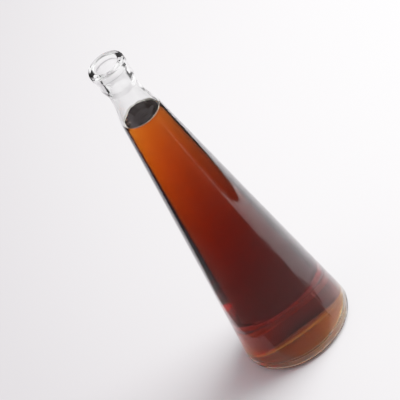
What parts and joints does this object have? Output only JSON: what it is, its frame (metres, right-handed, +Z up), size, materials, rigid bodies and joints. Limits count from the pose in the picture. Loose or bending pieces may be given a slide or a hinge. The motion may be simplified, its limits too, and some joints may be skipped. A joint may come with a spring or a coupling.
{
  "type": "filled conical flask",
  "caption": "Clear moulded-glass conical flask with a ringed mouth and a domed push-up in its bottom, nearly full of dark amber liquid.",
  "frame": {"origin": "centre of the ring that the flask stands on, on the table plane", "axes": "+Z up along the flask's axis to the mouth; the mould's two parting lines run up the side at +X and -X; +Y completes the right-handed frame"},
  "size_m": [0.082, 0.082, 0.273],
  "materials": {
    "clear_glass": "clear moulded soda-lime glass, fire-polished outside",
    "amber_liquid": "still, clear, deep amber-red liquid; orange where it is thin"
  },
  "bodies": {
    "root": {"glass_flask": "clear_glass", "liquid": "amber_liquid"}
  },
  "joints": []
}
